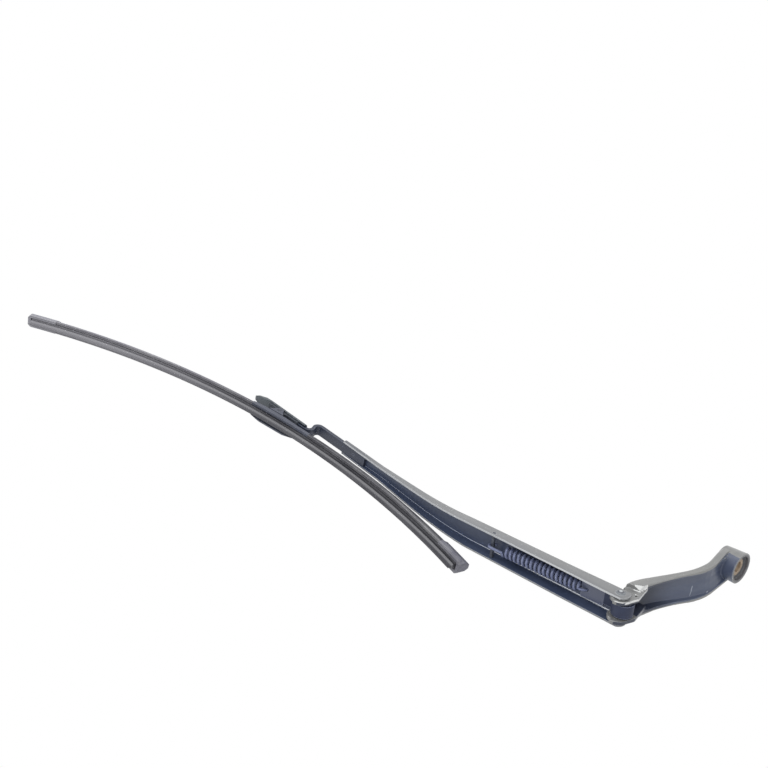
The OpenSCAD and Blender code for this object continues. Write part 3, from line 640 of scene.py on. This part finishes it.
def head_region(centre, normal):
    """Part of the casting that a spot lies on: 0 outside, 1 hollow (darker paint, partly painted shade), 2 boss's
    recess, 3 shoulder with a painted highlight.
    """
    out = math.hypot(centre.x, centre.y)
    across = centre.y + SPINDLE_OFFSET * smooth_step(centre.x / HEAD_TURN)
    on_shoulder = centre.x > SHOULDER_START and centre.y > SHOULDER_SIDE and centre.z < SHOULDER_TOP
    if on_shoulder and (normal.dot(SHOULDER_FACET) > 0.8 or normal.z < -0.85):
        return 3
    in_recess = out < RECESS_RADIUS and centre.z < RECESS_TOP
    if out < BOSS_RADIUS - 1 * MM and (in_recess or normal.z < -0.5):
        return 2
    flank = centre.x > 3 * MM and normal.x > 0.3 and abs(centre.y) < FLOOR_INSIDE
    if flank and out < BOSS_RADIUS + 0.4 * MM:
        return 1
    under = normal.z < -0.35 and abs(across) < FLOOR_INSIDE
    wall = normal.y * across < -3 * MM and abs(across) < WALL_INSIDE and centre.x < EAR_START
    return 1 if out > BOSS_RADIUS and (under or wall) else 0


def add_head():
    """The casting, whose long edges rise to the top of the tapered boss."""
    shape = merged_copy("mounting_head")
    floor = lift_hollow_floor(shape)
    shape_boss(shape, floor)
    skin = cast_skin(shape, HEAD_VOXEL, 2)
    for point in skin.verts:
        point.co.z = max(point.co.z, BOSS_FOOT)
    skin.normal_update()
    for face in skin.faces:
        face.material_index = head_region(face.calc_center_median(), face.normal)
    finished_piece("cast_head", skin, "mounting_head", CAST_SHARP, HEAD_LININGS)


# Arm and spring

WALL_FOOT = 4.5 * MM
CHANNEL_AXIS = -2 * MM
INWARD = -0.2 * MM
# Linings of the channel: inside paint with painted shade, and painted highlights on the inner bend and on the near
# wall's foot.
ARM_LININGS = (arm_inside_shaded, arm_bend_highlight, arm_foot_highlight)
CUP_REACH = 12.0 * MM


def arm_region(centre, facing):
    """Part of the channel that a spot lies on: 0 outside, 1 inside, 2 inner bend with a painted highlight, 3 near
    wall's foot with a painted highlight.
    """
    aside = centre.y - arm_middle(centre.x)
    if facing.z < -0.9 and centre.z < WALL_FOOT:
        return 3 if aside > 0 else 0
    if facing.y * aside + facing.z * (centre.z - CHANNEL_AXIS) < INWARD:
        return 2 if 0.3 < facing.y < 0.95 and facing.z < -0.2 else 1
    return 0


def add_arm():
    """The pressed channel, its hollow side painted darker and bluer, partly as painted shade and partly as paint
    less weathered than outside, with painted highlights along the inner bend and the near wall's foot.
    """
    shape = merged_copy("arm_channel")
    shape.normal_update()
    to_arm = ARM.inverted()
    for face in shape.faces:
        face.material_index = arm_region(to_arm @ face.calc_center_median(), to_arm.to_3x3() @ face.normal)
    finished_piece("pressed_arm", shape, "arm_channel", linings=ARM_LININGS)


def add_link():
    """The spring's link, its plate in its own paint and painted shade round the rivet, where it sits between the
    ears.
    """
    shape = merged_copy("tension_link")
    for face in shape.faces:
        if (face.calc_center_median() - HINGE).length < CUP_REACH:
            face.material_index = 1
    finished_piece("tension_link_skin", shape, "tension_link", linings=(link_painted_shade,))


# Blade

CAP_SQUEEZE = 0.9
CAP_VOXEL = 0.24 * MM


def add_end_cap(node):
    """A cap no wider than the blade, softened all round."""
    shape = merged_copy(node)
    to_blade = BLADE.inverted()
    for point in shape.verts:
        place = to_blade @ point.co
        place.y *= CAP_SQUEEZE
        point.co = BLADE @ place
    finished_piece(node + "_soft", cast_skin(shape, CAP_VOXEL, 3), node, CAST_SHARP)


add_head()
add_arm()
add_end_cap("end_cap_outer")
add_end_cap("end_cap_inner")
add_link()

for node in ("arm_tongue", "hinge_rivet", "adapter_cover", "bracket", "tension_spring", "spindle_bush",
             "hinge_bush", "anchor_pin", "link_pin", "pivot_pin", "wiper_rubber", "spoiler_outer",
             "spoiler_inner"):
    finished_piece(node + "_skin", merged_copy(node), node)


# Stage and light

WHITE = (1.0, 1.0, 1.0, 1.0)
FLOOR_HEIGHT = -0.42
FLOOR_SIZE = 8.0
FLOOR_GLOW = 0.25
ROOM_LIGHT = 0.62
OBJECT_MIDDLE = Vector((0.14, 0.0, 0.25))
SHOULDER = Vector((0.103, 0.007, 0.025))
LAMPS = (
    ("side_lamp", OBJECT_MIDDLE, (0.0, 1.0, 0.05), 1.6, 0.9, 4.0),
    ("front_lamp", OBJECT_MIDDLE, (0.8, 0.5, -0.3), 1.5, 0.7, 6.0),
    ("glint_lamp", SHOULDER, (0.485, 0.817, -0.336), 1.2, 0.16, 1.6),
    ("upper_lamp", OBJECT_MIDDLE, (0.34, 0.66, 0.66), 1.4, 0.4, 3.0),
    ("right_lamp", SHOULDER, (-0.65, 0.63, -0.34), 1.4, 0.5, 3.0),
)


def add_floor():
    """Pale floor below the object, white to the eye, that keeps a soft shadow."""
    bpy.ops.mesh.primitive_plane_add(size=FLOOR_SIZE, location=(0, 0, FLOOR_HEIGHT))
    floor = bpy.context.object
    floor.name = "floor"
    pale = Finish("pale_floor", Roughness=0.9, Base_Color=(0.9, 0.9, 0.9, 1.0), Emission_Strength=FLOOR_GLOW)
    pale.set(Emission_Color=pale.seen())
    floor.data.materials.append(pale.material)


def add_world():
    """Even surroundings: white where they are seen, a little dimmer for the light they give."""
    world = bpy.data.worlds.new("studio")
    world.use_nodes = True
    bpy.context.scene.world = world
    room = Drawing(world.node_tree)
    light = room.tree.nodes["Background"]
    room.feed(light.inputs["Color"], WHITE)
    room.feed(light.inputs["Strength"], ROOM_LIGHT + (1.0 - ROOM_LIGHT) * room.seen())


def add_lamp(name, aim, way, distance, size, power):
    """Soft square lamp that shines on a point from one side."""
    lamp = bpy.data.objects.new(name, bpy.data.lights.new(name, "AREA"))
    lamp.data.size = size
    lamp.data.energy = power
    to_lamp = distance * Vector(way).normalized()
    lamp.location = aim + to_lamp
    lamp.rotation_euler = (-to_lamp).to_track_quat("-Z", "Y").to_euler()
    bpy.context.scene.collection.objects.link(lamp)


add_floor()
add_world()
for lamp_settings in LAMPS:
    add_lamp(*lamp_settings)

scene = bpy.context.scene
scene.view_settings.view_transform = "Standard"
